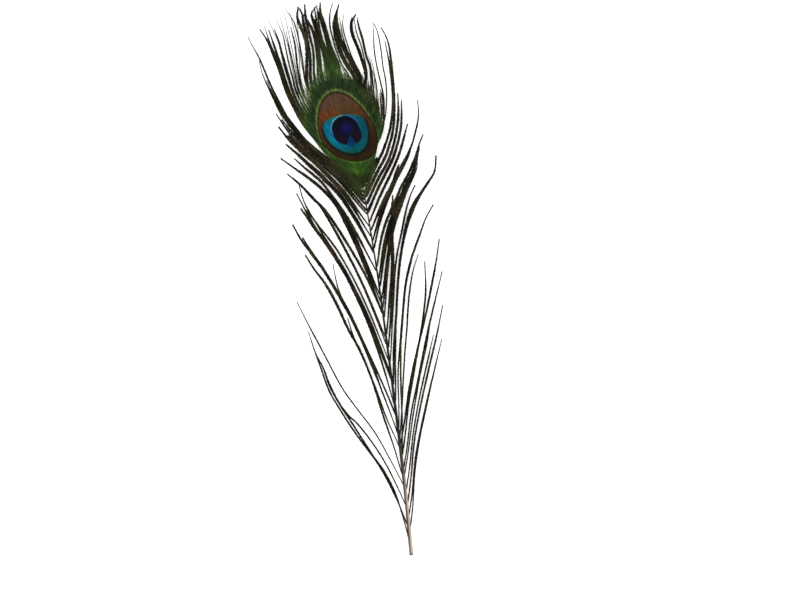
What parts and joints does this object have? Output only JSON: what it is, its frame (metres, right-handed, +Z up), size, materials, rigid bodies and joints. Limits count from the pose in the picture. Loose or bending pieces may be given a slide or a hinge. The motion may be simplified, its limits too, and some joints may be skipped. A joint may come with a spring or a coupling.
{
  "type": "peacock tail feather with an eye",
  "caption": "Peacock tail feather lying flat: a curved tapering shaft, an eye-marked closed vane at its head, and loose dark locks of barbs along both sides and past the crown.",
  "frame": {"origin": "centre of the feather's box, on the surface that it lies on", "axes": "+Y from the cut end of the shaft to the tips of the crown, +X to the right of the eye seen from its coloured face, +Z up out of that face"},
  "size_m": [0.0886, 0.3012, 0.0046],
  "materials": {
    "shaft_keratin": "horny keratin, pinkish cream at the cut end turning dark brown and then black towards the head, satin",
    "eye_barbs": "closely set barbs with an iridescent eye: dark blue heart, cyan disc, bronze-brown egg, yellow-green rim in green",
    "loose_barbs": "nearly black barbs with an olive and bronze sheen, fringed with fine barbules",
    "crown_barbs": "green-black barbs that fade to dark grey thin tips"
  },
  "bodies": {
    "root": {"crown_barbs_01": "crown_barbs", "crown_barbs_02": "crown_barbs", "crown_barbs_03": "crown_barbs", "crown_barbs_04": "crown_barbs", "crown_barbs_05": "crown_barbs", "crown_barbs_06": "crown_barbs", "crown_barbs_07": "crown_barbs", "crown_barbs_08": "crown_barbs", "crown_barbs_09": "crown_barbs", "crown_barbs_10": "crown_barbs", "crown_barbs_11": "crown_barbs", "crown_barbs_12": "crown_barbs", "crown_barbs_13": "crown_barbs", "crown_barbs_14": "crown_barbs", "crown_barbs_15": "crown_barbs", "eye_vane": "eye_barbs", "left_barbs_01": "loose_barbs", "left_barbs_02": "loose_barbs", "left_barbs_03": "loose_barbs", "left_barbs_04": "loose_barbs", "left_barbs_05": "loose_barbs", "left_barbs_06": "loose_barbs", "left_barbs_07": "loose_barbs", "left_barbs_08": "loose_barbs", "left_barbs_09": "loose_barbs", "left_barbs_10": "loose_barbs", "left_barbs_11": "loose_barbs", "left_barbs_12": "loose_barbs", "left_barbs_13": "loose_barbs", "left_barbs_14": "loose_barbs", "left_barbs_15": "loose_barbs", "left_barbs_16": "loose_barbs", "right_barbs_01": "loose_barbs", "right_barbs_02": "loose_barbs", "right_barbs_03": "loose_barbs", "right_barbs_04": "loose_barbs", "right_barbs_05": "loose_barbs", "right_barbs_06": "loose_barbs", "right_barbs_07": "loose_barbs", "right_barbs_08": "loose_barbs", "right_barbs_09": "loose_barbs", "right_barbs_10": "loose_barbs", "right_barbs_11": "loose_barbs", "right_barbs_12": "loose_barbs", "right_barbs_13": "loose_barbs", "right_barbs_14": "loose_barbs", "right_barbs_15": "loose_barbs", "right_barbs_16": "loose_barbs", "shaft": "shaft_keratin"}
  },
  "joints": []
}
